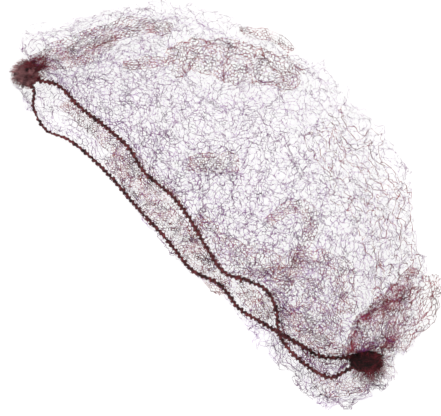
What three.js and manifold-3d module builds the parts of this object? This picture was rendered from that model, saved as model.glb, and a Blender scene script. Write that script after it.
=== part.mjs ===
// A bun net lying on a flat surface, as it falls when it is put down: a bag of fine net, open at its
// mouth, with a thin elastic all round the mouth and a tight gather at each corner of the mouth.
// Millimetres. +X runs along the mouth from the left gather to the right, +Y from the mouth to the far
// fold of the bag, +Z up from the surface. The near strand of the elastic lies low, and the far strand
// arches over the open mouth, then crosses the near one and runs outside it to the right gather.

import * as THREE from 'three';
import { mergeVertices } from 'three/addons/utils/BufferGeometryUtils.js';
import Module from 'manifold-3d';

// The bag and its mouth: mouthSpan is the distance between the gathers, bagReach the depth of the bag
// behind the mouth, strandBow how far the strands bow to either side of the mouth's line, and
// crownHeight how far the top rises over the bag's edges.
const mouthSpan = 221;
const bagReach = 100;
const strandBow = 22;
const crownHeight = 24;
const mouthHeight = 16;
const farFoldHeight = 6;
const hemWidth = 1.6;
const hemTurn = 1.4;
const billowReach = 20;
const billowLift = 2.6;
const leftEndBulge = 1.5;
const rightEndBulge = 5;

// The net's wall, the elastic's thickness and the gaps between the pieces.
const wall = 1.2;
const clearance = 0.3;
const gatherClearance = 0.6;
const boreClearance = 0.5;
const elasticDiameter = 1.8;

// The gathers. turnWidth is the distance between the elastic's two strands inside them.
const gatherHeight = 11;
const leftGatherLength = 16;
const leftGatherWidth = 15;
const rightGatherLength = 23;
const rightGatherWidth = 11;
const rightGatherTurn = THREE.MathUtils.degToRad(43);
const rightGatherOffset = 1.5;
const gatherPleats = 9;
const gatherPleatDepth = 0.7;
const turnWidth = 5.2;
const turnRise = 0.9;

// The pleats that run out of the gathers. fullRun is how long a section over the top is before its
// pleats and folds are full.
const pleatDepth = 1.2;
const pleatReach = 62;
const pleatsOverTop = 6;
const fullRun = 45;

// How finely the surfaces are divided.
const stationCount = 50;
const floorSteps = 5;
const topSteps = 21;
const elasticSteps = 150;
const elasticSides = 8;
const gatherRings = 10;
const foldSteps = 24;

// The elastic's near strand. along is a share of half the mouth's span, bow of the strands' bow, and
// lift of the billow's lift.
const nearStrand = [
  { along: -0.887, bow: -0.50, lift: 0.1 },
  { along: -0.778, bow: -0.70, lift: 0 },
  { along: -0.679, bow: -0.545, lift: 0 },
  { along: -0.561, bow: -0.51, lift: 0 },
  { along: -0.407, bow: -0.57, lift: 0 },
  { along: -0.226, bow: -0.71, lift: 0 },
  { along: -0.045, bow: -0.82, lift: 0 },
  { along: 0.136, bow: -0.98, lift: 0 },
  { along: 0.271, bow: -0.83, lift: 0 },
  { along: 0.416, bow: -0.955, lift: 0.1 },
  { along: 0.525, bow: -0.86, lift: 0.4 },
  { along: 0.606, bow: -0.795, lift: 0.8 },
  { along: 0.724, bow: -0.68, lift: 1 },
  { along: 0.833, bow: -0.57, lift: 1 },
];

// The elastic's far strand, in the same shares, with height a share of the mouth's height.
const farStrand = [
  { along: -0.869, bow: 0.25, height: 0.60 },
  { along: -0.724, bow: 0.20, height: 0.78 },
  { along: -0.588, bow: 0.23, height: 0.90 },
  { along: -0.434, bow: 0.20, height: 0.98 },
  { along: -0.317, bow: 0.02, height: 1 },
  { along: -0.136, bow: 0.01, height: 1 },
  { along: 0, bow: -0.16, height: 1 },
  { along: 0.127, bow: -0.39, height: 0.97 },
  { along: 0.253, bow: -0.54, height: 0.92 },
  { along: 0.362, bow: -0.32, height: 0.84 },
  { along: 0.452, bow: -0.24, height: 0.74 },
  { along: 0.543, bow: -0.45, height: 0.62 },
  { along: 0.615, bow: -0.80, height: 0.56 },
  { along: 0.724, bow: -0.94, height: 0.54 },
  { along: 0.860, bow: -0.91, height: 0.54 },
  { along: 0.925, bow: -0.78, height: 0.53 },
];

// The far fold, which is the bag's outline from above: along as before, reach a share of bagReach.
const farFold = [
  { along: -1.095, reach: 0.10 },
  { along: -1.098, reach: 0.20 },
  { along: -1.045, reach: 0.28 },
  { along: -0.965, reach: 0.44 },
  { along: -0.840, reach: 0.60 },
  { along: -0.690, reach: 0.76 },
  { along: -0.470, reach: 0.85 },
  { along: -0.270, reach: 0.91 },
  { along: -0.110, reach: 0.98 },
  { along: 0.010, reach: 1.01 },
  { along: 0.150, reach: 0.96 },
  { along: 0.350, reach: 0.93 },
  { along: 0.560, reach: 0.88 },
  { along: 0.720, reach: 0.75 },
  { along: 0.860, reach: 0.61 },
  { along: 1.005, reach: 0.50 },
  { along: 1.070, reach: 0.34 },
  { along: 1.102, reach: 0.22 },
  { along: 1.122, reach: 0.14 },
];

// Where the net goes outside the near strand before it folds under. at is the share of the way along
// the mouth; right and out are shares of billowReach, on top of the plain hem.
const billow = [
  { at: 0, right: -0.10, out: 0.02 },
  { at: 0.12, right: 0, out: 0 },
  { at: 0.50, right: 0, out: 0 },
  { at: 0.66, right: 0, out: 0 },
  { at: 0.74, right: 0.10, out: 0.22 },
  { at: 0.80, right: 0.20, out: 0.55 },
  { at: 0.86, right: 0.36, out: 0.80 },
  { at: 0.91, right: 0.50, out: 0.84 },
  { at: 0.95, right: 0.52, out: 0.44 },
  { at: 1, right: 0.22, out: 0.12 },
];

// The lip between the near strand and the front fold: share is the way out, and bow how far the lip
// bends towards the right gather, as a share of its own width.
const lipRun = [
  { share: 0.35, bow: 0.096 },
  { share: 0.75, bow: 0.084 },
];

// The elastic's turn inside a gather: along is a share of the gather's half length, side a share of half
// the turn's width from the strand that comes in, and rise a share of turnRise.
const turnRun = [
  { along: -0.8, side: 1, rise: -1 },
  { along: -0.1, side: 1, rise: -0.5 },
  { along: 0.25, side: 0, rise: 0 },
  { along: -0.1, side: -1, rise: 0.5 },
  { along: -0.8, side: -1, rise: 1 },
];

// How high the top of the bag stands over its edges, as a share of crownHeight along the mouth.
const crown = [
  { at: 0, share: 0.10 },
  { at: 0.06, share: 0.30 },
  { at: 0.18, share: 0.70 },
  { at: 0.34, share: 1 },
  { at: 0.52, share: 0.94 },
  { at: 0.68, share: 0.80 },
  { at: 0.82, share: 0.56 },
  { at: 0.93, share: 0.30 },
  { at: 1, share: 0.10 },
];

// Folds and dents in the top of the bag, each along one bent line from above. along and reach are
// shares as before, width and rise are shares of crownHeight.
const folds = [
  { from: [-0.96, 0.14], via: [-0.86, 0.56], to: [-0.56, 0.68], width: 0.26, rise: 0.20 },
  { from: [-0.52, 0.56], via: [-0.36, 0.76], to: [-0.14, 0.92], width: 0.24, rise: 0.18 },
  { from: [0.85, 0.06], via: [0.83, 0.28], to: [0.90, 0.48], width: 0.22, rise: 0.22 },
  { from: [1.01, 0.18], via: [1.00, 0.34], to: [0.92, 0.48], width: 0.20, rise: 0.18 },
  { from: [0.26, 0.28], via: [0.40, 0.50], to: [0.46, 0.14], width: 0.24, rise: 0.18 },
  { from: [0.46, 0.22], via: [0.60, 0.28], to: [0.78, 0.19], width: 0.22, rise: 0.15 },
  { from: [-0.62, 0.20], via: [-0.40, 0.36], to: [-0.10, 0.34], width: 0.44, rise: -0.20 },
  { from: [0.20, 0.70], via: [0.44, 0.66], to: [0.72, 0.50], width: 0.40, rise: -0.18 },
  { from: [-0.20, 0.60], via: [0, 0.72], to: [0.12, 0.86], width: 0.26, rise: 0.12 },
];

const halfSpan = mouthSpan / 2;
const elasticRadius = elasticDiameter / 2;
const floorHeight = wall / 2;
const strandRest = wall + clearance + elasticRadius;
const edgeGap = elasticRadius + 2 * clearance + wall / 2;
const gatherCentreHeight = wall + clearance + gatherHeight / 2;

// Each gather has its middle, its half sizes, a direction that points away from the mouth, and the
// side of it that faces the near edge of the bag.
const leftGather = {
  centre: new THREE.Vector3(-halfSpan, -1, gatherCentreHeight),
  halfLength: leftGatherLength / 2,
  halfWidth: leftGatherWidth / 2,
  forward: new THREE.Vector3(-1, 0, 0),
  nearSide: new THREE.Vector3(0, -1, 0),
};
const rightGather = {
  centre: new THREE.Vector3(halfSpan + rightGatherOffset, rightGatherOffset, gatherCentreHeight),
  halfLength: rightGatherLength / 2,
  halfWidth: rightGatherWidth / 2,
  forward: new THREE.Vector3(Math.cos(rightGatherTurn), Math.sin(rightGatherTurn), 0),
  nearSide: new THREE.Vector3(Math.sin(rightGatherTurn), -Math.cos(rightGatherTurn), 0),
};

function inGather(gather, forward, nearSide, up) {
  return gather.centre.clone()
    .addScaledVector(gather.forward, forward)
    .addScaledVector(gather.nearSide, nearSide)
    .add(new THREE.Vector3(0, 0, up));
}

// A point beside a gather where the net's edge is taken round it. The angle is 0 at the tip and 180
// degrees at the mouth; side is 1 for the near edge and -1 for the far one.
function flank(gather, degrees, side, up) {
  const angle = THREE.MathUtils.degToRad(degrees);
  const spare = gatherClearance + wall / 2;
  return inGather(
    gather,
    (gather.halfLength + spare) * Math.cos(angle),
    side * (gather.halfWidth + spare) * Math.sin(angle),
    up,
  );
}

function tableValue(rows, at, column) {
  const last = rows.length - 1;
  const upper = rows.findIndex((row) => row.at >= at);
  const index = Math.min(Math.max(upper, 1), last);
  const before = rows[index - 1];
  const after = rows[index];
  const share = THREE.MathUtils.smoothstep(at, before.at, after.at);
  return THREE.MathUtils.lerp(before[column], after[column], share);
}

const nearPoints = nearStrand.map((row) => new THREE.Vector3(
  row.along * halfSpan,
  row.bow * strandBow,
  strandRest + row.lift * billowLift,
));
const farPoints = farStrand.map((row) => new THREE.Vector3(
  row.along * halfSpan,
  row.bow * strandBow,
  row.height * mouthHeight,
));

// The elastic is one loop: along the near strand, round inside the right gather, back along the far
// strand and round inside the left gather. The strands have changed sides when they reach the right.
function turnInGather(gather, risingSign) {
  return turnRun.map((row) => inGather(
    gather,
    row.along * gather.halfLength,
    -row.side * turnWidth / 2,
    risingSign * row.rise * turnRise,
  ));
}

const loopPoints = [
  ...nearPoints,
  ...turnInGather(rightGather, 1),
  ...farPoints.toReversed(),
  ...turnInGather(leftGather, -1),
];
const elasticPath = new THREE.CatmullRomCurve3(loopPoints, true, 'centripetal');

// The net's edge keeps beside the elastic, on the side that the net comes from, and leaves it only
// where it is taken round a gather.
function besideStrand(points, side) {
  const strand = new THREE.CatmullRomCurve3(points, false, 'centripetal');
  const last = points.length * 2;
  return Array.from({ length: last + 1 }, (_, index) => {
    const tangent = strand.getTangent(index / last);
    const across = new THREE.Vector3(-tangent.y, tangent.x, 0).normalize();
    return strand.getPoint(index / last).addScaledVector(across, side * edgeGap);
  });
}

const nearEdge = new THREE.CatmullRomCurve3([
  flank(leftGather, 78, 1, -1.5),
  flank(leftGather, 112, 1, -3),
  ...besideStrand(nearPoints, -1),
  flank(rightGather, 125, 1, -2.2),
  flank(rightGather, 95, 1, -1.9),
  flank(rightGather, 66, 1, -1.6),
], false, 'centripetal');
const farEdge = new THREE.CatmullRomCurve3([
  flank(leftGather, 58, -1, 1.6),
  flank(leftGather, 90, -1, 2),
  flank(leftGather, 125, -1, 2.2),
  ...besideStrand(farPoints, 1),
  flank(rightGather, 130, -1, 2.6),
  flank(rightGather, 84, -1, 2),
], false, 'centripetal');
const outline = new THREE.CatmullRomCurve3(farFold.map((row) => new THREE.Vector3(
  row.along * halfSpan,
  row.reach * bagReach,
  floorHeight,
)), false, 'centripetal');

const foldLines = folds.map((fold) => {
  const [from, via, to] = [fold.from, fold.via, fold.to].map(
    ([along, reach]) => new THREE.Vector2(along * halfSpan, reach * bagReach),
  );
  return {
    points: new THREE.QuadraticBezierCurve(from, via, to).getPoints(foldSteps),
    width: fold.width * crownHeight,
    rise: fold.rise * crownHeight,
  };
});

function foldRise(point) {
  const place = new THREE.Vector2(point.x, point.y);
  return foldLines.reduce((sum, line) => {
    const distance = Math.min(...line.points.map((each) => each.distanceTo(place)));
    return sum + line.rise * Math.exp(-((distance / line.width) ** 2));
  }, 0);
}

// The way from the nearer gather as a share of the pleats' reach, 0 at the gather and 1 past the pleats.
function shareFromGather(point) {
  const distance = Math.min(
    point.distanceTo(leftGather.centre) - leftGather.halfLength,
    point.distanceTo(rightGather.centre) - rightGather.halfLength,
  );
  return THREE.MathUtils.clamp(distance / pleatReach, 0, 1);
}

// Pleats run out of both gathers over the top of the bag and die away with the distance, and the folds
// begin where the pleats are full.
function creaseRise(point, acrossTop) {
  const share = shareFromGather(point);
  const pleat = pleatDepth * Math.sin(Math.PI * share) * Math.sin(2 * Math.PI * pleatsOverTop * acrossTop);
  return pleat + foldRise(point) * THREE.MathUtils.smoothstep(share, 0, 0.5);
}

// One section of the bag: from the near edge out over the hem, round the front fold, back under the
// bag along the surface, round the far fold, and over the top to the far edge.
function sectionPoints(at) {
  const near = nearEdge.getPointAt(at);
  const far = farEdge.getPointAt(at);
  const fold = outline.getPointAt(at);
  const tangent = nearEdge.getTangentAt(at);
  const outward = new THREE.Vector3(tangent.y, -tangent.x, 0).normalize();
  const front = near.clone()
    .addScaledVector(outward, hemWidth)
    .add(new THREE.Vector3(
      tableValue(billow, at, 'right') * billowReach,
      -tableValue(billow, at, 'out') * billowReach,
      0,
    ));
  const reach = front.clone().sub(near);
  const frontHeight = (floorHeight + near.z) / 2;
  const inward = fold.clone().sub(front).setZ(0).normalize();
  const lipBend = new THREE.Vector3(-reach.y, reach.x, 0);

  const points = [near.clone()];
  lipRun.forEach((row) => points.push(near.clone().lerp(front, row.share).addScaledVector(lipBend, row.bow)));
  points.push(front.clone().setZ(frontHeight));
  const floorStart = front.clone().setZ(floorHeight).addScaledVector(inward, hemTurn);
  const floorEnd = fold.clone().addScaledVector(inward, -farFoldHeight / 2);
  for (let step = 0; step <= floorSteps; step += 1) {
    points.push(floorStart.clone().lerp(floorEnd, step / floorSteps).setZ(floorHeight));
  }
  points.push(fold.clone().setZ(floorHeight + farFoldHeight / 2));

  const top = fold.clone().setZ(floorHeight + farFoldHeight).addScaledVector(inward, -farFoldHeight / 2);
  const rise = crownHeight * tableValue(crown, at, 'share');
  const fullness = THREE.MathUtils.smoothstep(top.distanceTo(far), 0.2 * fullRun, fullRun);
  const leftBulge = leftEndBulge * (1 - THREE.MathUtils.smoothstep(at, 0, 0.15));
  const rightBulge = rightEndBulge * THREE.MathUtils.smoothstep(at, 0.68, 0.90);
  for (let step = 0; step <= topSteps; step += 1) {
    const share = step / topSteps;
    const arch = Math.sin(Math.PI * share);
    const point = top.clone().lerp(far, share)
      .addScaledVector(leftGather.nearSide, -arch * leftBulge)
      .addScaledVector(rightGather.nearSide, -arch * rightBulge);
    point.z += arch ** 0.8 * rise;
    const inside = Math.min(1, 5 * share * (1 - share));
    point.z += inside * fullness * creaseRise(point, share);
    points.push(point);
  }
  return points.map((point) => point.setZ(Math.max(point.z, floorHeight)));
}

// A wall of even thickness on both sides of a sheet that is given as a grid of points.
function wallOnSheet(sheet, thickness) {
  const rows = sheet.length;
  const columns = sheet[0].length;
  const positions = [];
  const at = (row, column) => sheet[
    THREE.MathUtils.clamp(row, 0, rows - 1)][THREE.MathUtils.clamp(column, 0, columns - 1)];
  for (const side of [0.5, -0.5]) {
    for (let row = 0; row < rows; row += 1) {
      for (let column = 0; column < columns; column += 1) {
        const along = at(row + 1, column).clone().sub(at(row - 1, column));
        const across = at(row, column + 1).clone().sub(at(row, column - 1));
        const normal = along.cross(across).normalize();
        const point = at(row, column).clone().addScaledVector(normal, side * thickness);
        positions.push(point.x, point.y, point.z);
      }
    }
  }
  const indices = [];
  const name = (side, row, column) => (side * rows + row) * columns + column;
  const quad = (a, b, c, d) => indices.push(a, b, c, a, c, d);
  for (let row = 0; row < rows - 1; row += 1) {
    for (let column = 0; column < columns - 1; column += 1) {
      quad(name(0, row, column), name(0, row + 1, column),
        name(0, row + 1, column + 1), name(0, row, column + 1));
      quad(name(1, row, column), name(1, row, column + 1),
        name(1, row + 1, column + 1), name(1, row + 1, column));
    }
  }
  for (let row = 0; row < rows - 1; row += 1) {
    const end = columns - 1;
    quad(name(0, row, 0), name(1, row, 0), name(1, row + 1, 0), name(0, row + 1, 0));
    quad(name(0, row, end), name(0, row + 1, end), name(1, row + 1, end), name(1, row, end));
  }
  for (let column = 0; column < columns - 1; column += 1) {
    const end = rows - 1;
    quad(name(0, 0, column), name(0, 0, column + 1), name(1, 0, column + 1), name(1, 0, column));
    quad(name(0, end, column), name(1, end, column), name(1, end, column + 1), name(0, end, column + 1));
  }
  const geometry = new THREE.BufferGeometry();
  geometry.setAttribute('position', new THREE.Float32BufferAttribute(positions, 3));
  geometry.setIndex(indices);
  return geometry;
}

function makeNetBag() {
  const sheet = Array.from({ length: stationCount }, (_, station) => (
    sectionPoints(station / (stationCount - 1))
  ));
  return wallOnSheet(sheet, wall);
}

function closedTube(radius) {
  return new THREE.TubeGeometry(elasticPath, elasticSteps, radius, elasticSides, true);
}

function bareGeometry(geometry) {
  const bare = geometry.clone();
  bare.deleteAttribute('normal');
  bare.deleteAttribute('uv');
  return mergeVertices(bare, 1e-4);
}

const wasm = await Module();
wasm.setup();

function toSolid(geometry) {
  const bare = bareGeometry(geometry);
  return new wasm.Manifold(new wasm.Mesh({
    numProp: 3,
    vertProperties: new Float32Array(bare.attributes.position.array),
    triVerts: new Uint32Array(bare.index.array),
  }));
}

function toGeometry(solid) {
  const mesh = solid.getMesh();
  const geometry = new THREE.BufferGeometry();
  geometry.setAttribute('position', new THREE.Float32BufferAttribute(mesh.vertProperties, 3));
  geometry.setIndex(Array.from(mesh.triVerts));
  return geometry;
}

// A gather is a bundle of net drawn tight on the elastic: a rounded body with pleats from end to end,
// and a bore for the elastic, which goes in and comes out on its mouth side.
function makeGather(gather) {
  const geometry = bareGeometry(new THREE.SphereGeometry(1, 4 * gatherPleats, gatherRings));
  const position = geometry.attributes.position;
  const hand = Math.sign(gather.nearSide.clone().cross(gather.forward).z);
  for (let index = 0; index < position.count; index += 1) {
    const place = new THREE.Vector3().fromBufferAttribute(position, index);
    const around = Math.atan2(place.z, place.x);
    const girth = Math.hypot(place.x, place.z);
    const pleat = gatherPleatDepth * (Math.cos(gatherPleats * around) - 1) / 2 * girth;
    const side = hand * (place.x * gather.halfWidth + pleat * Math.cos(around));
    const up = place.z * gatherHeight / 2 + pleat * Math.sin(around);
    const moved = inGather(gather, place.y * gather.halfLength, side, up);
    position.setXYZ(index, moved.x, moved.y, moved.z);
  }
  const body = toSolid(geometry);
  const bore = toSolid(closedTube(elasticRadius + boreClearance));
  return toGeometry(body.subtract(bore));
}

const net = new THREE.MeshStandardMaterial({ color: 0x5a3a3e, roughness: 0.7, metalness: 0 });
const elastic = new THREE.MeshStandardMaterial({ color: 0x2e1417, roughness: 0.6, metalness: 0 });
const bundle = new THREE.MeshStandardMaterial({ color: 0x1c0d0f, roughness: 0.75, metalness: 0 });

const pieces = new THREE.Group();

function addPiece(name, geometry, material) {
  const mesh = new THREE.Mesh(geometry, material);
  mesh.name = name;
  pieces.add(mesh);
}

addPiece('net_bag', makeNetBag(), net);
addPiece('elastic_edge', closedTube(elasticRadius), elastic);
addPiece('left_gather', makeGather(leftGather), bundle);
addPiece('right_gather', makeGather(rightGather), bundle);

// The origin is under the middle of the whole net, on the surface that it lies on.
const extent = new THREE.Box3().setFromObject(pieces);
const middle = extent.getCenter(new THREE.Vector3());
pieces.position.set(-middle.x, -middle.y, -extent.min.z);

const bunNet = new THREE.Group();
bunNet.add(pieces);

export default bunNet;
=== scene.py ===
import bisect
import math
import random

import bmesh
import bpy
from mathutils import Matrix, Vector, noise
from mathutils.bvhtree import BVHTree
from mathutils.kdtree import KDTree


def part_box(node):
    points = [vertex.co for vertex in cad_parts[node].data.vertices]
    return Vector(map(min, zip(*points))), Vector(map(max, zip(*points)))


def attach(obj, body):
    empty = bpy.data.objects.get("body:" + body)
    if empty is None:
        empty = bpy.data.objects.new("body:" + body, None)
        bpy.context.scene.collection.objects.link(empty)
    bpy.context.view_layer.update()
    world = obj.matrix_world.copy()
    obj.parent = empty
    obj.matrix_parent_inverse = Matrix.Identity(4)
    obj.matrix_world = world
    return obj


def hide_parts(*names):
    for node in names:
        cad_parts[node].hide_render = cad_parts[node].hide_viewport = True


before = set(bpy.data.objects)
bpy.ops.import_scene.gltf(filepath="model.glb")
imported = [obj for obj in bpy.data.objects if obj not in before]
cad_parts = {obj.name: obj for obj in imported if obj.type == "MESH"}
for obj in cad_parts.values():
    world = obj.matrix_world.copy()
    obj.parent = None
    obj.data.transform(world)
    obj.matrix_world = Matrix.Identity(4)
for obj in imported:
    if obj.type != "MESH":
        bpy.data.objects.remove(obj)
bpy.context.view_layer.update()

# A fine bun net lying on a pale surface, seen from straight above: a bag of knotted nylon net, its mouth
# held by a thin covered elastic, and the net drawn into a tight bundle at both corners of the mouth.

scene = bpy.context.scene

# The camera looks straight down from well above the net, and is turned so that the mouth runs from the
# upper left to the lower right.
camera_height = 1.5
camera_turn = math.radians(40.32)
view_width = 0.2205
view_middle = (0.0036, -0.0226)
sensor_width = 36

camera_data = bpy.data.cameras.new("camera")
camera_data.sensor_fit = "HORIZONTAL"
camera_data.sensor_width = sensor_width
camera_data.lens = sensor_width * camera_height / view_width
camera_data.dof.use_dof = False
camera = bpy.data.objects.new("camera", camera_data)
camera.location = (*view_middle, camera_height)
camera.rotation_euler = (0, 0, camera_turn)
scene.collection.objects.link(camera)
scene.camera = camera

# The floor is a plain white board that is lit a little from inside, as a light table is, and over it are
# an even white sky and one large soft lamp, so that the threads throw hardly any shadow.
floor_size = 3
floor_glow = 0.78
floor_white = 0.30
floor_roughness = 0.9
floor_shine = 0.1
sky_strength = 1.0
lamp_size = 1.6
lamp_power = 5
lamp_place = (-0.5, 0.7, 1.9)

floor_bm = bmesh.new()
bmesh.ops.create_grid(floor_bm, x_segments=1, y_segments=1, size=floor_size / 2)
floor_mesh = bpy.data.meshes.new("floor")
floor_bm.to_mesh(floor_mesh)
floor_bm.free()
floor = bpy.data.objects.new("floor", floor_mesh)
scene.collection.objects.link(floor)
floor_paint = bpy.data.materials.new("white_board")
floor_paint.use_nodes = True
board = floor_paint.node_tree.nodes["Principled BSDF"]
board.inputs["Base Color"].default_value = (floor_white, floor_white, floor_white, 1)
board.inputs["Emission Color"].default_value = (1, 1, 1, 1)
board.inputs["Emission Strength"].default_value = floor_glow
board.inputs["Roughness"].default_value = floor_roughness
board.inputs["Specular IOR Level"].default_value = floor_shine
floor_mesh.materials.append(floor_paint)

sky = bpy.data.worlds.new("sky")
sky.use_nodes = True
sky.node_tree.nodes["Background"].inputs["Color"].default_value = (1, 1, 1, 1)
sky.node_tree.nodes["Background"].inputs["Strength"].default_value = sky_strength
scene.world = sky
lamp_data = bpy.data.lights.new("lamp", "AREA")
lamp_data.shape = "DISK"
lamp_data.size = lamp_size
lamp_data.energy = lamp_power
lamp = bpy.data.objects.new("lamp", lamp_data)
lamp.location = lamp_place
lamp.rotation_euler = (-Vector(lamp_place)).to_track_quat("-Z", "Y").to_euler()
scene.collection.objects.link(lamp)
scene.view_settings.view_transform = "Standard"
scene.view_settings.look = "None"

# The elastic is a rubber core under a tight cover of dark thread, one closed loop all round the mouth.
# The near strand lies low, the far one arches over the open mouth, and each turns round inside a gather.
mm = 0.001
half_span = 110.5 * mm
strand_bow = 22 * mm
billow_lift = 2.6 * mm
mouth_height = 16 * mm
strand_rest = 2.4 * mm
elastic_radius = 0.9 * mm
gather_height = 7 * mm
left_gather_nearer = 1 * mm
turn_half_width = 2.6 * mm
turn_rise = 0.9 * mm

# Both strands are listed from the left to the right, in shares of half the mouth's span and of the
# strands' bow, with the height last: a share of the billow's lift on the near strand and of the mouth's
# height on the far one.
near_rows = [
    (-0.887, -0.50, 0.1), (-0.778, -0.70, 0), (-0.679, -0.545, 0), (-0.561, -0.51, 0),
    (-0.407, -0.57, 0), (-0.226, -0.71, 0), (-0.045, -0.82, 0), (0.136, -0.98, 0),
    (0.271, -0.83, 0), (0.416, -0.955, 0.1), (0.525, -0.86, 0.4), (0.606, -0.795, 0.8),
    (0.724, -0.68, 1), (0.833, -0.57, 1),
]
far_rows = [
    (-0.869, 0.25, 0.60), (-0.724, 0.20, 0.78), (-0.588, 0.23, 0.90), (-0.434, 0.20, 0.98),
    (-0.317, 0.02, 1), (-0.136, 0.01, 1), (0, -0.16, 1), (0.127, -0.39, 0.97),
    (0.253, -0.54, 0.92), (0.362, -0.32, 0.84), (0.452, -0.24, 0.74), (0.543, -0.45, 0.62),
    (0.615, -0.80, 0.56), (0.724, -0.94, 0.54), (0.860, -0.91, 0.54), (0.925, -0.78, 0.53),
]
turn_rows = [(-0.8, 1, -1), (-0.1, 1, -0.5), (0.25, 0, 0), (-0.1, -1, 0.5), (-0.8, -1, 1)]

left_low, left_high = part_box("left_gather")
level_middle = Vector((
    (left_low.x + left_high.x) / 2 + half_span,
    (left_low.y + left_high.y) / 2 + left_gather_nearer,
    0,
))


def level(along, across, up):
    """A point given from the middle of the line between the gathers: along it, across it and up."""
    return level_middle + Vector((along, across, up))


# Each gather has its middle and half sizes, the half length, half width and set-back of the tight bundle
# in it, and its own directions.
right_turn = math.radians(43)
right_gather_shift = 1.5 * mm
left_gather = {
    "middle": level(-half_span, -left_gather_nearer, gather_height),
    "half_length": 8 * mm,
    "half_width": 7.5 * mm,
    "bundle": (6.8 * mm, 6.8 * mm, 0),
    "forward": Vector((-1, 0, 0)),
    "near_side": Vector((0, -1, 0)),
}
right_gather = {
    "middle": level(half_span + right_gather_shift, right_gather_shift, gather_height),
    "half_length": 11.5 * mm,
    "half_width": 5.5 * mm,
    "bundle": (7.4 * mm, 4.2 * mm, 2 * mm),
    "forward": Vector((math.cos(right_turn), math.sin(right_turn), 0)),
    "near_side": Vector((math.sin(right_turn), -math.cos(right_turn), 0)),
}


def in_gather(gather, forward, near_side, up):
    """A point given from the middle of a gather, whose forward way points away from the mouth."""
    return (gather["middle"] + gather["forward"] * forward + gather["near_side"] * near_side
            + Vector((0, 0, up)))


def turn_in_gather(gather, rising):
    """The elastic's way round inside a gather. rising is 1 where it climbs and -1 where it comes down."""
    return [in_gather(gather, along * gather["half_length"], -side * turn_half_width,
                      rising * rise * turn_rise) for along, side, rise in turn_rows]


near_points = [level(along * half_span, bow * strand_bow, strand_rest + lift * billow_lift)
               for along, bow, lift in near_rows]
far_points = [level(along * half_span, bow * strand_bow, height * mouth_height)
              for along, bow, height in far_rows]


def smooth_stretch(before, start, end, after, share):
    """A point on a centripetal curve between start and end."""
    gaps = [max(math.sqrt((b - a).length), 1e-6)
            for a, b in ((before, start), (start, end), (end, after))]
    pull_in = ((start - before) / gaps[0] - (end - before) / (gaps[0] + gaps[1])
               + (end - start) / gaps[1]) * gaps[1]
    pull_out = ((end - start) / gaps[1] - (after - start) / (gaps[1] + gaps[2])
                + (after - end) / gaps[2]) * gaps[1]
    square = share * share
    cube = square * share
    return (start * (2 * cube - 3 * square + 1) + pull_in * (cube - 2 * square + share)
            + end * (3 * square - 2 * cube) + pull_out * (cube - square))


def smooth_line(points, closed=False, fineness=24):
    """A function that gives the point at a share of the length of a smooth line through points."""
    if closed:
        run = [points[-1], *points, points[0], points[1]]
    else:
        run = [points[0] * 2 - points[1], *points, points[-1] * 2 - points[-2]]
    fine = [run[1].copy()]
    for index in range(1, len(run) - 2):
        for step in range(1, fineness + 1):
            fine.append(smooth_stretch(*run[index - 1:index + 3], step / fineness))
    lengths = [0.0]
    for start, end in zip(fine, fine[1:]):
        lengths.append(lengths[-1] + (end - start).length)

    def at(share):
        target = max(0, min(1, share)) * lengths[-1]
        index = max(1, min(len(lengths) - 1, bisect.bisect_left(lengths, target)))
        gap = lengths[index] - lengths[index - 1]
        return fine[index - 1].lerp(fine[index], (target - lengths[index - 1]) / gap if gap else 0)

    at.length = lengths[-1]
    return at


elastic_line = smooth_line([
    *near_points, *turn_in_gather(right_gather, 1),
    *reversed(far_points), *turn_in_gather(left_gather, -1),
], closed=True)


def closed_thread(points):
    """One endless thread drawn out point by point, as a ring of edges."""
    bm = bmesh.new()
    first = bmesh.ops.create_vert(bm, co=points[0])["vert"][0]
    last = first
    for point in points[1:]:
        made = bmesh.ops.extrude_vert_indiv(bm, verts=[last])
        last = made["verts"][0]
        last.co = point
    bmesh.ops.contextual_create(bm, geom=[last, first])
    return bm


def round_section_group():
    """Gives the edges of a mesh a round section, scaled at each point by its attribute thick."""
    group = bpy.data.node_groups.new("round_thread", "GeometryNodeTree")
    group.interface.new_socket("Geometry", in_out="INPUT", socket_type="NodeSocketGeometry")
    group.interface.new_socket("Sides", in_out="INPUT", socket_type="NodeSocketInt")
    group.interface.new_socket("Radius", in_out="INPUT", socket_type="NodeSocketFloat")
    group.interface.new_socket("Geometry", in_out="OUTPUT", socket_type="NodeSocketGeometry")
    make = group.nodes.new
    source = make("NodeGroupInput")
    lines = make("GeometryNodeMeshToCurve")
    thick = make("GeometryNodeInputNamedAttribute")
    thick.data_type = "FLOAT"
    thick.inputs["Name"].default_value = "thick"
    section = make("GeometryNodeCurvePrimitiveCircle")
    tube = make("GeometryNodeCurveToMesh")
    tube.inputs["Fill Caps"].default_value = True
    smooth = make("GeometryNodeSetShadeSmooth")
    result = make("NodeGroupOutput")
    join = group.links.new
    join(source.outputs["Geometry"], lines.inputs["Mesh"])
    join(source.outputs["Sides"], section.inputs["Resolution"])
    join(source.outputs["Radius"], section.inputs["Radius"])
    join(lines.outputs["Curve"], tube.inputs["Curve"])
    join(thick.outputs["Attribute"], tube.inputs["Scale"])
    join(section.outputs["Curve"], tube.inputs["Profile Curve"])
    join(tube.outputs["Mesh"], smooth.inputs["Geometry"])
    join(smooth.outputs["Geometry"], result.inputs["Geometry"])
    return group


round_thread = round_section_group()


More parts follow.
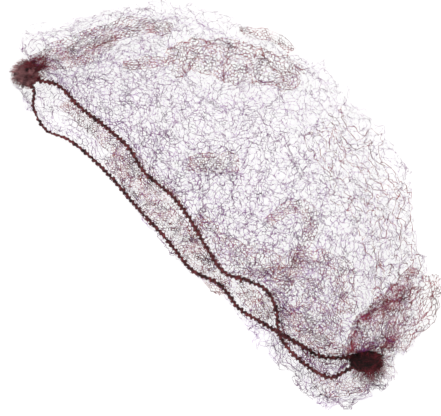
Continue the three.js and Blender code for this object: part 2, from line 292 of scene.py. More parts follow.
def finished_threads(name, bm, radius, sides, material, thickness=None):
    """Makes the lines of a bmesh round threads, in one object. thickness gives each point's share."""
    lines = bpy.data.meshes.new(name + "_lines")
    thick = bm.verts.layers.float.get("thick") or bm.verts.layers.float.new("thick")
    for vert in bm.verts:
        vert[thick] = (vert[thick] or 1) * (thickness(vert.co) if thickness else 1)
    bm.to_mesh(lines)
    bm.free()
    piece = bpy.data.objects.new(name, lines)
    scene.collection.objects.link(piece)
    spun = piece.modifiers.new("round", "NODES")
    spun.node_group = round_thread
    sockets = {item.name: item.identifier for item in round_thread.interface.items_tree
               if item.in_out == "INPUT"}
    spun[sockets["Sides"]] = sides
    spun[sockets["Radius"]] = radius
    bpy.context.view_layer.update()
    seen = piece.evaluated_get(bpy.context.evaluated_depsgraph_get())
    finished = bpy.data.meshes.new_from_object(seen)
    finished.name = name
    piece.modifiers.clear()
    piece.data = finished
    bpy.data.meshes.remove(lines)
    finished.materials.clear()
    finished.materials.append(material)
    return piece


thread_shine = 0.35
dark_up_to = 0.35
light_from = 0.68
patch_detail = 3
rib_strength = 0.6
rib_detail = 2


def thread_material(name, dark, light, patch, roughness, bump_scale, bump_depth):
    """Dyed thread whose colour wanders in patches between two shades, with fine ribs of twist in the
    surface. Where the light shade is the colour of highlights, as on the elastic's cover, those patches
    are painted highlights. patch and bump_scale are about how many patches and ribs there are to a metre."""
    material = bpy.data.materials.new(name)
    material.use_nodes = True
    nodes = material.node_tree.nodes
    join = material.node_tree.links.new
    shader = nodes["Principled BSDF"]
    shader.inputs["Roughness"].default_value = roughness
    shader.inputs["Specular IOR Level"].default_value = thread_shine
    place = nodes.new("ShaderNodeTexCoord")
    wander = nodes.new("ShaderNodeTexNoise")
    wander.inputs["Scale"].default_value = patch
    wander.inputs["Detail"].default_value = patch_detail
    shades = nodes.new("ShaderNodeValToRGB")
    shades.color_ramp.elements[0].position = dark_up_to
    shades.color_ramp.elements[0].color = (*dark, 1)
    shades.color_ramp.elements[1].position = light_from
    shades.color_ramp.elements[1].color = (*light, 1)
    fibres = nodes.new("ShaderNodeTexNoise")
    fibres.inputs["Scale"].default_value = bump_scale
    fibres.inputs["Detail"].default_value = rib_detail
    bump = nodes.new("ShaderNodeBump")
    bump.inputs["Strength"].default_value = rib_strength
    bump.inputs["Distance"].default_value = bump_depth
    join(place.outputs["Object"], wander.inputs["Vector"])
    join(wander.outputs["Fac"], shades.inputs["Fac"])
    join(shades.outputs["Color"], shader.inputs["Base Color"])
    join(place.outputs["Object"], fibres.inputs["Vector"])
    join(fibres.outputs["Fac"], bump.inputs["Height"])
    join(bump.outputs["Normal"], shader.inputs["Normal"])
    return material


cover_patch = 380
cover_roughness = 0.62
cover_ribs = 5200
cover_rib_depth = 0.1 * mm
# The cover's own colour is the near-black maroon shade. The lighter red-brown shade is a painted
# highlight, standing in for the light caught on the knobs of the winding, and it lies in patches at
# random.
elastic_cover_with_painted_highlights = thread_material("elastic_cover_with_painted_highlights", (0.022, 0.003, 0.005), (0.190, 0.034, 0.040),
                                cover_patch, cover_roughness, cover_ribs, cover_rib_depth)

# A thick covering thread is wound over a thinner one that lies close on the thin rubber core, which
# gives the elastic its knobbly edge, and a fine thread runs loosely round both in small loops.
ply_pitch = 2.5 * mm
thick_ply_offset = 0.84 * mm
thick_ply_radius = 0.50 * mm
thin_ply_offset = 0.22 * mm
thin_ply_radius = 0.44 * mm
core_radius = 0.45 * mm
loop_pitch = 1.7 * mm
loop_offset = 1.05 * mm
loop_radius = 0.085 * mm
loop_start = 0.6
ply_wobble = 0.7
loop_wobble = 0.9
turn_points = 8
low_stretch_from = 30 * mm
low_stretch_fade = 40 * mm
low_strand_top = 5 * mm
low_strand_thinner = 0.42
lean_size = 4 * mm
lean_turn = 1.2
lump_size = 1.3 * mm
knob_size = 1.4 * mm
knob_depth = 1.05
knob_least = 0.5
core_step = 1 * mm


def side_and_up(line, share, step):
    """Two directions square to a line, for winding round it."""
    forward = (line((share + step) % 1) - line((share - step) % 1)).normalized()
    side = Vector((0, 0, 1)).cross(forward).normalized()
    return side, forward.cross(side)


def strand_fullness(share):
    """The loop is thinner and smoother where it runs low on the left, and fullest in the middle."""
    place = elastic_line(share)
    low_left = max(0, min(1, (level_middle.x - low_stretch_from - place.x) / low_stretch_fade))
    if place.z > low_strand_top:
        low_left = 0
    return 1 - low_strand_thinner * low_left


def winding(pitch, offset, start, wobble):
    """The way of a thread that winds round the elastic once in each pitch. start is its first angle."""
    turns = round(elastic_line.length / pitch)
    steps = turns * turn_points
    points = []
    for step in range(steps):
        share = step / steps
        side, up = side_and_up(elastic_line, share, 0.5 / steps)
        centre = elastic_line(share)
        lean = noise.noise(centre / lean_size) * lean_turn
        angle = start + lean + 2 * math.pi * step / turn_points
        lump = noise.noise(centre / lump_size)
        reach = offset * strand_fullness(share) * (1 + wobble * lump)
        points.append(centre + side * math.cos(angle) * reach + up * math.sin(angle) * reach)
    return points


def lumpy(place):
    """The share of its thickness that a thread of the elastic has at a point."""
    return max(knob_least, 1 + knob_depth * noise.noise(place / knob_size))


core_steps = round(elastic_line.length / core_step)
elastic_threads = [
    ("elastic_core", [elastic_line(step / core_steps) for step in range(core_steps)], core_radius, 6),
    ("elastic_thick_ply", winding(ply_pitch, thick_ply_offset, 0, ply_wobble), thick_ply_radius, 7),
    ("elastic_thin_ply", winding(ply_pitch, thin_ply_offset, math.pi, ply_wobble), thin_ply_radius, 5),
    ("elastic_loops", winding(loop_pitch, loop_offset, loop_start, loop_wobble), loop_radius, 3),
]
for name, points, radius, sides in elastic_threads:
    piece = finished_threads(name, closed_thread(points), radius, sides, elastic_cover_with_painted_highlights, thickness=lumpy)
    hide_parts("elastic_edge")
    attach(piece, "root")

# The net is fine knotted nylon, one piece of it folded over at the far side of the bag: a low layer on
# the surface and an upper one that stands over it, joined to the elastic along both sides of the mouth.
# It is made as a lattice of six-sided cells laid along the bag's own form, then crumpled.
bag_reach = 100 * mm
hem_width = 1.6 * mm
hem_narrowest = 0.2
hem_narrow_to = 0.12
hem_full_from = 0.35
billow_reach = 20 * mm
far_fold_height = 6 * mm
floor_clear = 0.4 * mm
far_fold_rows = [
    (-1.095, 0.10), (-1.098, 0.20), (-1.045, 0.28), (-0.965, 0.44), (-0.840, 0.60), (-0.690, 0.76),
    (-0.470, 0.85), (-0.270, 0.91), (-0.110, 0.98), (0.010, 1.01), (0.150, 0.96), (0.350, 0.93),
    (0.560, 0.88), (0.720, 0.75), (0.860, 0.61), (1.005, 0.50), (1.070, 0.34), (1.102, 0.22),
    (1.122, 0.14),
]
billow_rows = [
    (0, -0.10, 0.02), (0.12, 0, 0), (0.66, 0, 0), (0.74, 0.10, 0.22), (0.80, 0.20, 0.55),
    (0.86, 0.36, 0.80), (0.91, 0.50, 0.84), (0.95, 0.52, 0.44), (1, 0.22, 0.12),
]
left_bulge = 1.5 * mm
left_bulge_to = 0.15
right_bulge = 5 * mm
right_bulge_from = 0.68
right_bulge_full = 0.90
edge_step = 0.004
floor_steps = 8
arch_steps = 24


def smooth_share(value, low, high):
    """Rises from 0 at low to 1 at high, gently at both ends."""
    share = max(0, min(1, (value - low) / (high - low)))
    return share * share * (3 - 2 * share)


def beside_gather(gather, degrees, side, up):
    """A point on the rim of a gather, where the edge of the net runs past it."""
    angle = math.radians(degrees)
    return in_gather(gather, gather["half_length"] * math.cos(angle),
                     side * gather["half_width"] * math.sin(angle), up)


near_edge = smooth_line([
    beside_gather(left_gather, 78, 1, -1.5 * mm), beside_gather(left_gather, 112, 1, -3 * mm),
    *near_points,
    beside_gather(right_gather, 125, 1, -2.2 * mm), beside_gather(right_gather, 66, 1, -1.6 * mm),
])
far_edge = smooth_line([
    beside_gather(left_gather, 58, -1, 1.6 * mm), beside_gather(left_gather, 125, -1, 2.2 * mm),
    *far_points,
    beside_gather(right_gather, 130, -1, 2.6 * mm), beside_gather(right_gather, 84, -1, 2 * mm),
])
far_fold = smooth_line([level(along * half_span, reach * bag_reach, floor_clear)
                        for along, reach in far_fold_rows])

bag_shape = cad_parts["net_bag"].data
bag_tree = BVHTree.FromPolygons([vert.co for vert in bag_shape.vertices],
                                [face.vertices for face in bag_shape.polygons])
wall_half = 0.6 * mm
above_all = 60 * mm


def over_bag(place):
    """The height of the bag's upper layer over a point."""
    hit = bag_tree.ray_cast(Vector((place.x, place.y, above_all)), Vector((0, 0, -1)))[0]
    if hit is None:
        hit = bag_tree.find_nearest(Vector((place.x, place.y, place.z)))[0]
    return hit.z - wall_half


def billow_at(at):
    """How far the net's near edge is turned out at a share of the mouth: to the right, and outwards."""
    for before, after in zip(billow_rows, billow_rows[1:]):
        if at <= after[0]:
            share = smooth_share(at, before[0], after[0])
            return [a + (b - a) * share for a, b in zip(before[1:], after[1:])]
    return billow_rows[-1][1:]


def bag_section(at):
    """The net's way round the bag at a share of the mouth, from the near strand to the far one."""
    near = near_edge(at)
    far = far_edge(at)
    fold = far_fold(at)
    tangent = (near_edge(at + edge_step) - near_edge(at - edge_step)).normalized()
    outward = Vector((tangent.y, -tangent.x, 0)).normalized()
    right, out = billow_at(at)
    hem = hem_width * (hem_narrowest
                       + (1 - hem_narrowest) * smooth_share(at, hem_narrow_to, hem_full_from))
    front = near + outward * hem + Vector((right, -out, 0)) * billow_reach
    front.z = (floor_clear + near.z) / 2
    inward = Vector((fold.x - front.x, fold.y - front.y, 0)).normalized()
    points = [near, near.lerp(front, 0.5), front]
    start = front + inward * hem_width
    end = fold - inward * far_fold_height / 2
    points += [Vector((*start.lerp(end, step / floor_steps).xy, floor_clear))
               for step in range(floor_steps + 1)]
    points.append(fold + Vector((0, 0, far_fold_height / 2)))
    top = fold - inward * far_fold_height / 2 + Vector((0, 0, far_fold_height))
    left = left_bulge * (1 - smooth_share(at, 0, left_bulge_to))
    turned = right_bulge * smooth_share(at, right_bulge_from, right_bulge_full)
    for step in range(arch_steps + 1):
        share = step / arch_steps
        arch = math.sin(math.pi * share)
        place = (top.lerp(far, share) - left_gather["near_side"] * arch * left
                 - right_gather["near_side"] * arch * turned)
        if 0 < step < arch_steps:
            place.z = max(over_bag(place), min(place.z, far_fold_height))
        points.append(place)
    return points


sheet_stations = 200
sheet_rows = 120


def even_run(points, count):
    """The same way again, in steps of one length."""
    lengths = [0.0]
    for start, end in zip(points, points[1:]):
        lengths.append(lengths[-1] + (end - start).length)
    run = []
    for step in range(count + 1):
        target = lengths[-1] * step / count
        index = max(1, min(len(lengths) - 1, bisect.bisect_left(lengths, target)))
        gap = lengths[index] - lengths[index - 1]
        run.append(points[index - 1].lerp(points[index],
                                          (target - lengths[index - 1]) / gap if gap else 0))
    return run


bag_sheet = [even_run(bag_section(station / sheet_stations), sheet_rows)
             for station in range(sheet_stations + 1)]


def on_bag(along, round_share):
    """A point of the bag: along is the share of the mouth, round_share the way from near to far."""
    station = max(0, min(sheet_stations - 1e-6, along * sheet_stations))
    row = max(0, min(sheet_rows - 1e-6, round_share * sheet_rows))
    i, j = int(station), int(row)
    a = bag_sheet[i][j].lerp(bag_sheet[i + 1][j], station - i)
    b = bag_sheet[i][j + 1].lerp(bag_sheet[i + 1][j + 1], station - i)
    return a.lerp(b, row - j)


# The net crumples the same way each time, in creases of five sizes, each with how far it shifts the net.
noise.seed_set(2)
crumple_rows = [(21 * mm, 5.5 * mm), (9 * mm, 4.4 * mm), (3.6 * mm, 2.4 * mm), (1.7 * mm, 1.3 * mm),
                (0.9 * mm, 1.0 * mm)]
crumple_upwards = 0.55
side_seed = 0.37
crease_seed = 900


def crumpled(place, seed, amount, sheet_place):
    """Shifts a point of the net as crumpling does, the same way for points that lie close together."""
    moved = place.copy()
    for size, reach in crumple_rows:
        push = noise.noise_vector(sheet_place / size
                                  + Vector((seed, seed * side_seed, size * crease_seed)))
        moved += Vector((push.x, push.y, push.z * crumple_upwards)) * reach * amount
    return moved


def hex_lattice(columns, rows):
    """Six-sided cells over the unit square, as edges alone. Every second crossing edge of a grid is taken
    out, and its points are drawn a sixth of a row to and fro."""
    bm = bmesh.new()
    bmesh.ops.create_grid(bm, x_segments=columns, y_segments=rows, size=0.5)
    bmesh.ops.translate(bm, verts=bm.verts, vec=(0.5, 0.5, 0))
    bmesh.ops.delete(bm, geom=bm.faces[:], context="FACES_ONLY")
    crossing = []
    for edge in bm.edges:
        a, b = edge.verts
        if abs(a.co.x - b.co.x) < 0.1 / columns:
            column = round(a.co.x * columns)
            row = round(min(a.co.y, b.co.y) * rows)
            if (column + row) % 2:
                crossing.append(edge)
    for vert in bm.verts:
        column = round(vert.co.x * columns)
        row = round(vert.co.y * rows)
        if 0 < row < rows:
            vert.co.y += (1 if (column + row) % 2 == 0 else -1) / rows / 6
    bmesh.ops.delete(bm, geom=crossing, context="EDGES")
    return bm


cut_rounds = 3


def cut_for_bending(bm, longest, knot):
    """Cuts in half the edges of a lattice that are over the longest, up to three times, so that they can
    bend. knot is how much thicker the thread is where the cells meet."""
    thick = bm.verts.layers.float.new("thick")
    for vert in bm.verts:
        vert[thick] = knot
    knots = set(bm.verts)
    for _ in range(cut_rounds):
        stiff = [edge for edge in bm.edges if edge.calc_length() > longest]
        bmesh.ops.subdivide_edges(bm, edges=stiff, cuts=1)
    for vert in bm.verts:
        if vert not in knots:
            vert[thick] = 1
    return thick


weight_rows = [(5 * mm, 0.8), (0.9 * mm, 2.0)]
weight_mean = 0.97
weight_least = 0.3
weight_most = 1.8


def uneven(place):
    """Threads of the net look now heavier, now lighter, where they lie singly or side by side."""
    weight = weight_mean
    for size, change in weight_rows:
        weight += change * noise.noise(place / size)
    return max(weight_least, min(weight_most, weight))


net_patch = 160
net_roughness = 0.5
net_ribs = 9000
net_rib_depth = 0.04 * mm
net_thread = thread_material("net_thread", (0.070, 0.004, 0.062), (0.270, 0.036, 0.260),
                             net_patch, net_roughness, net_ribs, net_rib_depth)
web_thread = thread_material("web_thread", (0.170, 0.030, 0.230), (0.440, 0.145, 0.560),
                             net_patch, net_roughness, net_ribs, net_rib_depth)

# Shares are of the way round the bag from the near strand to the far one. The net is held along the
# elastic, its cells grow wider and its threads finer towards the far fold, and the fringe there is ragged.
floor_share = 0.47
held_share = 0.03
hem_share = 0.06
calm_hem = 0.3
fringe_share = 0.06
fringe_reach = 5 * mm
fringe_calmer = 0.45
stray_size = 7 * mm
small_stray_size = 2.5 * mm
small_stray = 0.35
ragged_size = 9 * mm
ragged_reach = 7 * mm
knot_thickness = 1.9
bag_cell = 1.0 * mm
loose_rows = [(5.5 * mm, 4.0 * mm), (13 * mm, 2.9 * mm), (26 * mm, 1.8 * mm)]
thin_at_fold = 0.36
thin_depth = 74 * mm
strand_reach = 2.2 * mm
bag_middle = level(0, 10 * mm, 0)

strand_step = 0.5 * mm
strand_steps = round(elastic_line.length / strand_step)
strand_tree = KDTree(strand_steps)
for step in range(strand_steps):
    place = elastic_line(step / strand_steps)
    strand_tree.insert((place.x, place.y, 0), step)
strand_tree.balance()


def below_strand(place):
    """Keeps the net, which hangs from the elastic, from riding over it."""
    index, gap = strand_tree.find((place.x, place.y, 0))[1:]
    if gap < strand_reach:
        place.z = min(place.z, elastic_line(index / strand_steps).z - elastic_radius)
    place.z = max(place.z, floor_clear)
    return place


def under_gather(place):
    """Whether a point of the net lies where the tight bundle of a gather hides it."""
    for gather in (left_gather, right_gather):
        half_length, half_width, back = gather["bundle"]
        offset = place - gather["middle"]
        along = (offset.dot(gather["forward"]) + back) / half_length
        across = offset.dot(gather["near_side"]) / half_width
        if math.hypot(along, across) < 1:
            return True
    return False


def bag_layer(name, columns, rows, low, high, seed, radius, material, bend, ends_before):
    """One layer of the bag's net, from the share low to the share high of the way round. Its cells grow
    wider towards the far fold, and ends_before is how far from the fold it ends."""
    bm = hex_lattice(columns, rows)
    free = bm.verts.layers.float.new("free")
    fringe = bm.verts.layers.float.new("fringe")
    inside = bm.verts.layers.float.new("inside")
    ends = bm.verts.layers.float.new("ends")
    for vert in bm.verts:
        along, round_share = vert.co.x, low + (high - low) * vert.co.y
        vert[free] = smooth_share(min(round_share, 1 - round_share), 0, held_share)
        if round_share < hem_share:
            vert[free] *= calm_hem + (1 - calm_hem) * smooth_share(along, hem_narrow_to, hem_full_from)
        vert[fringe] = 1 - smooth_share(abs(round_share - floor_share), 0, fringe_share)
        vert.co = on_bag(along, round_share)
        ragged = ragged_reach * noise.noise(vert.co / ragged_size)
        vert[inside] = (vert.co - far_fold(along)).length + ragged
        vert[ends] = min(along, 1 - along)
    gone = [vert for vert in bm.verts
            if vert[inside] < ends_before or vert[ends] < ends_before / far_fold.length]
    bmesh.ops.delete(bm, geom=gone, context="VERTS")
    for limit, cell in loose_rows:
        bmesh.ops.remove_doubles(bm, verts=[vert for vert in bm.verts if vert[inside] < limit], dist=cell)
    bmesh.ops.remove_doubles(bm, verts=bm.verts[:], dist=bag_cell)
    thick = cut_for_bending(bm, bend, knot_thickness)
    for vert in bm.verts:
        place = vert.co.copy()
        if vert[fringe]:
            outward = Vector((place.x - bag_middle.x, place.y - bag_middle.y, 0)).normalized()
            stray = noise.noise(place / stray_size) + small_stray * noise.noise(place / small_stray_size)
            place += outward * vert[fringe] * stray * fringe_reach
        amount = vert[free] * (1 - fringe_calmer * vert[fringe])
        vert.co = below_strand(crumpled(place, seed, amount, vert.co))
        depth = max(0, min(1, vert[inside] / thin_depth))
        vert[thick] *= thin_at_fold + (1 - thin_at_fold) * depth
    hidden = [vert for vert in bm.verts if under_gather(vert.co)]
    bmesh.ops.delete(bm, geom=hidden, context="VERTS")
    piece = finished_threads(name, bm, radius, 3, material, thickness=uneven)
    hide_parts("net_bag")
    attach(piece, "root")


# Each layer is the knotted threads of the netting, right up to the far fold, and a web of its finest
# filaments lies among them and ends before the fold.
lower_radius = 0.092 * mm
upper_radius = 0.100 * mm
thread_bend = 0.9 * mm
to_the_fold = -1
web_bend = 1.5 * mm
web_ends = 10 * mm
web_radius = 0.052 * mm
bag_layer("net_lower_layer", 150, 36, 0, floor_share, 3, lower_radius, net_thread, thread_bend,
          to_the_fold)
bag_layer("net_upper_layer", 150, 40, floor_share, 1, 17, upper_radius, net_thread, thread_bend,
          to_the_fold)
bag_layer("net_lower_web", 168, 40, 0, floor_share, 23, web_radius, web_thread, web_bend, web_ends)
bag_layer("net_upper_web", 168, 43, floor_share, 1, 31, web_radius, web_thread, web_bend, web_ends)

# Where the bag has sunk together the net lies in folds, doubled and bunched along a line, which makes the
# dark bands that run out of the gathers and across the bag. Each is a strip of the same netting, drawn
# together towards its middle.
fold_thread = thread_material("fold_thread", (0.110, 0.005, 0.011), (0.400, 0.042, 0.070),
                              net_patch, net_roughness, net_ribs, net_rib_depth)

# Ways, widths and cells are in millimetres, the ways from the middle between the gathers. stretch draws
# the cells out along the way, and folds on the floor belong to the lower layer, inside the mouth.
fold_rows = [
    {"way": [(-52, -4), (-30, -8), (-8, -11), (14, -14), (34, -17)], "width": 13, "cell": 0.68,
     "stretch": 1, "bunch": 1.2, "on_floor": True},
    {"way": [(-88, 0), (-64, 1), (-40, 0), (-12, -2)], "width": 8, "cell": 0.75, "stretch": 1,
     "bunch": 1.3, "on_floor": True},
    {"way": [(36, -14), (48, -13), (60, -14)], "width": 11, "cell": 0.80, "stretch": 1, "bunch": 1.1,
     "on_floor": True},
    {"way": [(0, -2), (20, -4), (42, 4), (58, 3)], "width": 16, "cell": 1.10, "stretch": 1, "bunch": 1.2},
    {"way": [(53, 0), (52, 14), (62, 24), (76, 21), (86, 10)], "width": 13, "cell": 0.85,
     "stretch": 1.4, "bunch": 1.4},
    {"way": [(50, -6), (66, -10), (84, -10), (104, -5)], "width": 15, "cell": 0.66, "stretch": 1,
     "bunch": 1.2},
    {"way": [(101, -3), (96, 5), (93.5, 12), (94, 17), (98, 24)], "width": 4, "cell": 0.23,
     "stretch": 2, "bunch": 1.5},
    {"way": [(95, 16), (99, 26), (100, 34), (99, 44), (98, 52)], "width": 8, "cell": 0.38,
     "stretch": 1.6, "bunch": 1.4},
    {"way": [(109, 2), (104, 16), (101, 28), (99, 42)], "width": 19, "cell": 0.49, "stretch": 1.5,
     "bunch": 1.1},
    {"way": [(64, 3), (76, 2), (90, 0)], "width": 14, "cell": 0.92, "stretch": 1, "bunch": 1.1},
    {"way": [(115, 8), (112, 17), (104, 24), (98, 27)], "width": 6, "cell": 0.42, "stretch": 1.5,
     "bunch": 1.3},
    {"way": [(114, 14), (116, 30), (110, 53)], "width": 14, "cell": 0.78, "stretch": 1.6, "bunch": 1},
    {"way": [(-44, 85), (-32, 92), (-18, 95)], "width": 6, "cell": 0.75, "stretch": 1.4, "bunch": 1.2},
    {"way": [(28, 21), (30, 32), (39, 38), (46, 33), (50, 14)], "width": 6, "cell": 0.75,
     "stretch": 1.3, "bunch": 1.5},
    {"way": [(46, 18), (60, 12), (72, 14)], "width": 7, "cell": 0.80, "stretch": 1.3, "bunch": 1.3},
    {"way": [(-60, 50), (-50, 62), (-36, 71), (-20, 79), (-4, 84)], "width": 18, "cell": 0.80,
     "stretch": 1.2, "bunch": 1.0},
    {"way": [(-112, 5), (-109, 16), (-102, 28), (-93, 40), (-84, 53), (-70, 62)], "width": 9,
     "cell": 0.54, "stretch": 2.4, "bunch": 1.3},
    {"way": [(-112, 3), (-106, 11), (-99, 20), (-93, 30), (-88, 42)], "width": 8, "cell": 0.44,
     "stretch": 2, "bunch": 1.5},
    {"way": [(-76, 34), (-68, 42), (-59, 52)], "width": 5, "cell": 0.70, "stretch": 1.6, "bunch": 1.4},
    {"way": [(-22, 18), (-12, 25), (-2, 34)], "width": 9, "cell": 0.85, "stretch": 1, "bunch": 1.2},
    {"way": [(84, -15), (94, -20), (106, -20), (116, -10)], "width": 9, "cell": 1.00, "stretch": 1,
     "bunch": 1.2},
    {"way": [(16, 78), (48, 70), (80, 53), (104, 32)], "width": 30, "cell": 2.20, "stretch": 4,
     "bunch": 1},
]
fold_radius = 0.118 * mm
fold_bend = 0.8 * mm
fold_knot = 1.7
fold_crumple = 0.12
crumple_with_width = 0.03
column_share = 0.87
row_share = 1.5
way_step = 0.02
end_taper = 0.12
first_fold_seed = 40
fold_seed_step = 3


def net_fold(name, row, seed):
    """One bunched strip of netting along its way, resting on top of the bag or on the surface under it."""
    line = smooth_line([level(x * mm, y * mm, 0) for x, y in row["way"]])
    width = row["width"] * mm
    columns = round(line.length / (row["cell"] * column_share * row["stretch"] * mm))
    rows = max(4, round(width / (row["cell"] * row_share * mm)))
    bm = hex_lattice(columns, rows)
    for vert in bm.verts:
        along = vert.co.x
        forward = (line(along + way_step) - line(along - way_step)).normalized()
        side = Vector((-forward.y, forward.x, 0))
        spread = 2 * vert.co.y - 1
        taper = 0.5 + 0.5 * math.sin(math.pi * (end_taper + (1 - 2 * end_taper) * along))
        offset = math.copysign(abs(spread) ** row["bunch"], spread) * width / 2 * taper
        place = line(along) + side * offset
        height = floor_clear if row.get("on_floor") else over_bag(place)
        vert.co = place + Vector((0, 0, height))
    cut_for_bending(bm, fold_bend, fold_knot)
    amount = fold_crumple + crumple_with_width * row["width"]
    for vert in bm.verts:
        vert.co = below_strand(crumpled(vert.co, seed, amount, vert.co))
    piece = finished_threads(name, bm, fold_radius, 3, fold_thread, thickness=uneven)
    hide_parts("net_bag")
    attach(piece, "root")


for index, row in enumerate(fold_rows):
    net_fold(f"net_fold_{index + 1}", row, first_fold_seed + fold_seed_step * index)

# The gathers: the net is drawn tight on the elastic at each corner of the mouth, so its folds make a
# dense pleated bundle of thread, with loose fibres standing out of it all round.
gather_pleats = 9
points_a_pleat = 8
bundle_rings = 24
pleat_depth = 0.7 * mm
rough_depth = 1.4 * mm
rough_fineness = 4
gather_depth = 11 * mm
fibre_steps = 7
frizz_size = 1.6 * mm
frizz_reach = 1 * mm
left_patch = 330
right_patch = 300
bundle_roughness = 0.7
bundle_ribs = 4200
bundle_rib_depth = 0.15 * mm
left_thread = thread_material("left_bundle_thread", (0.030, 0.004, 0.006), (0.520, 0.230, 0.240),
                              left_patch, bundle_roughness, bundle_ribs, bundle_rib_depth)
right_thread = thread_material("right_bundle_thread", (0.006, 0.001, 0.001), (0.050, 0.007, 0.010),
                               right_patch, bundle_roughness, bundle_ribs, bundle_rib_depth)
fringe_thread = thread_material("fringe_thread", (0.060, 0.002, 0.005), (0.290, 0.030, 0.048),
                                right_patch, bundle_roughness, bundle_ribs, bundle_rib_depth)


def gather_body(name, gather, node, long_share, wide_share, back, material):
    """The bundle itself. long_share and wide_share are its shares of the gather's length and width, back
    how far it sits towards the mouth."""
    bm = bmesh.new()
    bmesh.ops.create_uvsphere(bm, u_segments=points_a_pleat * gather_pleats, v_segments=bundle_rings,
                              radius=1)
    hand = 1 if gather["near_side"].cross(gather["forward"]).z > 0 else -1
    for vert in bm.verts:
        around = math.atan2(vert.co.y, vert.co.x)
        girth = math.hypot(vert.co.x, vert.co.y)
        rough = noise.noise(vert.co * rough_fineness) * rough_depth
        pleat = pleat_depth * (math.cos(gather_pleats * around) - 1) / 2 * girth + rough * girth
        side = vert.co.x * gather["half_width"] * wide_share + pleat * math.cos(around)
        up = vert.co.y * gather_depth / 2 * wide_share + pleat * math.sin(around)
        vert.co = in_gather(gather, vert.co.z * gather["half_length"] * long_share - back, side * hand, up)
    bmesh.ops.recalc_face_normals(bm, faces=bm.faces[:])
    mesh = bpy.data.meshes.new(name)
    bm.to_mesh(mesh)
    bm.free()
    for face in mesh.polygons:
        face.use_smooth = True
    mesh.materials.append(material)
    piece = bpy.data.objects.new(name, mesh)
    scene.collection.objects.link(piece)
    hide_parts(node)
    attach(piece, "root")


def on_gather(gather, axis_angle, around, swell):
    """A point on the gather's body: axis_angle is 0 at its tip, around is 0 at the top."""
    return in_gather(
        gather,
        math.cos(axis_angle) * gather["half_length"] * swell,
        math.sin(axis_angle) * math.sin(around) * gather["half_width"] * swell,
        math.sin(axis_angle) * math.cos(around) * gather_depth / 2 * swell,
    )


def fibres(name, node, count, seed, make_path, radius, material):
    """Many short threads of the gathered net, each along its own path over the body."""
    draw = random.Random(seed)
    paths = [smooth_line(make_path(draw), fineness=4) for _ in range(count)]
    bm = bmesh.new()
    bmesh.ops.create_grid(bm, x_segments=fibre_steps, y_segments=count - 1, size=0.5)
    bmesh.ops.translate(bm, verts=bm.verts, vec=(0.5, 0.5, 0))
    bmesh.ops.delete(bm, geom=bm.faces[:], context="FACES_ONLY")
    between = [edge for edge in bm.edges if abs(edge.verts[0].co.y - edge.verts[1].co.y) > 0.5 / count]
    bmesh.ops.delete(bm, geom=between, context="EDGES")
    for vert in bm.verts:
        point = paths[round(vert.co.y * (count - 1))](vert.co.x)
        point = point + noise.noise_vector(point / frizz_size) * frizz_reach
        point.z = max(point.z, floor_clear)
        vert.co = point
    piece = finished_threads(name, bm, radius, 3, material)
    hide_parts(node)
    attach(piece, "root")


swell_range = (0.6, 1.02)
side_turn = 0.25
mouth_angles = (145, 176)
tip_angles = (38, 75)


def lengthwise(draw):
    """Along the right bundle from its mouth side, closing in again at its tip."""
    around = draw.uniform(0, 2 * math.pi)
    swell = draw.uniform(*swell_range)
    turn = draw.gauss(0, side_turn)
    return [
        on_gather(right_gather, math.radians(draw.uniform(*mouth_angles)), around, swell * 0.95),
        on_gather(right_gather, math.radians(125), around + turn * 0.5, swell),
        on_gather(right_gather, math.radians(95), around + turn, swell * 0.95),
        on_gather(right_gather, math.radians(draw.uniform(*tip_angles)), around + turn, swell * 0.75),
    ]


fan_round = 150
fan_near_side = (70, 34)
fan_root = (-1.5 * mm, 2.5 * mm)
fan_root_side = 1.2 * mm
fan_shortest = 5
fan_longest = 10
fan_nearer = 2
fan_top = 0.8
fan_sway = 1.3 * mm
fan_drop = 4


def fan(draw):
    """Out of the right bundle's tip and flanks, down to the surface, longest on its near side."""
    angle = math.radians(draw.choice([draw.uniform(-fan_round, fan_round), draw.gauss(*fan_near_side)]))
    out = right_gather["forward"] * math.cos(angle) + right_gather["near_side"] * math.sin(angle)
    middle = in_gather(right_gather, draw.gauss(*fan_root), draw.gauss(0, fan_root_side), 0)
    reach = draw.uniform(fan_shortest, fan_longest + fan_nearer * math.sin(angle)) * mm
    height = draw.uniform(0, fan_top) * gather_depth / 2
    sway = out.cross(Vector((0, 0, 1))) * draw.gauss(0, fan_sway)
    return [
        middle + Vector((0, 0, height)),
        middle + out * reach * 0.4 + Vector((0, 0, height)),
        middle + out * reach * 0.75 + sway + Vector((0, 0, height * 0.2)),
        middle + out * reach + sway * 0.4 - Vector((0, 0, draw.uniform(0, fan_drop) * mm)),
    ]


def scattered(draw, x, y, spread):
    """A point on the surface near x and y, which are in millimetres, as is the spread."""
    return level(draw.gauss(x, spread) * mm, draw.gauss(y, spread) * mm, 0)


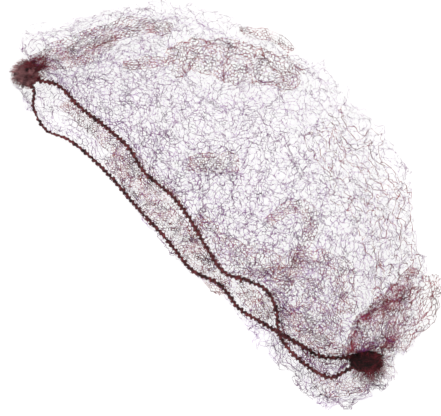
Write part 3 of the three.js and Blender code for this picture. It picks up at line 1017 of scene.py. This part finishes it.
left_middle = level(-112 * mm, -1 * mm, 0)
left_entry = (-108.5, 2.5)
entry_spread = 1.3
rim_radii = (3.8, 7.6)
rosette_heights = (-0.1, 0.95)
rim_drop = (1, 7)


def rosette(draw):
    """From where the net runs into the left bundle, out over it to its rim and down."""
    angle = draw.uniform(0, 2 * math.pi)
    rim = left_middle + Vector((math.cos(angle), math.sin(angle), 0)) * draw.uniform(*rim_radii) * mm
    start = scattered(draw, *left_entry, entry_spread)
    height = gather_height + draw.uniform(*rosette_heights) * gather_depth / 2
    down = draw.uniform(*rim_drop) * mm
    return [
        start + Vector((0, 0, height)),
        start.lerp(rim, 0.4) + Vector((0, 0, height)),
        start.lerp(rim, 0.8) + Vector((0, 0, height - down * 0.3)),
        rim + Vector((0, 0, height - down)),
    ]


neck_rows = [((-110, 11), (-115, 2)), ((-105, 10), (-114, 3)), ((-103, 5), (-107, -2)),
             ((-107, 9), (-109, 0))]
neck_heights = (0.2, 1.0)
neck_spreads = (1.3, 1.5, 0.8)


def neck(draw):
    """The dark bunches that run from the folds of the net into the top of the left bundle. neck_rows has
    the start and end of each in millimetres, neck_spreads how far start, end and bend scatter."""
    start, end = draw.choice(neck_rows)
    high = gather_height + draw.uniform(*neck_heights) * gather_depth / 2
    first = scattered(draw, *start, neck_spreads[0])
    last = scattered(draw, *end, neck_spreads[1])
    bend = scattered(draw, (start[0] + end[0]) / 2, (start[1] + end[1]) / 2, neck_spreads[2])
    return [
        first + Vector((0, 0, high * 0.8)),
        bend + Vector((0, 0, high)),
        bend.lerp(last, 0.5) + Vector((0, 0, high + 0.6 * mm)),
        last + Vector((0, 0, high + 0.3 * mm)),
    ]


gather_body("left_bundle", left_gather, "left_gather", 0.66, 0.66, 0, left_thread)
gather_body("right_bundle", right_gather, "right_gather", 0.60, 0.72, 2 * mm, right_thread)
fibres("left_fibres", "left_gather", 850, 11, rosette, 0.095 * mm, left_thread)
fibres("left_neck", "left_gather", 170, 13, neck, 0.060 * mm, fringe_thread)
fibres("right_fibres", "right_gather", 680, 7, lengthwise, 0.105 * mm, right_thread)
fibres("right_fan", "right_gather", 640, 9, fan, 0.062 * mm, fringe_thread)
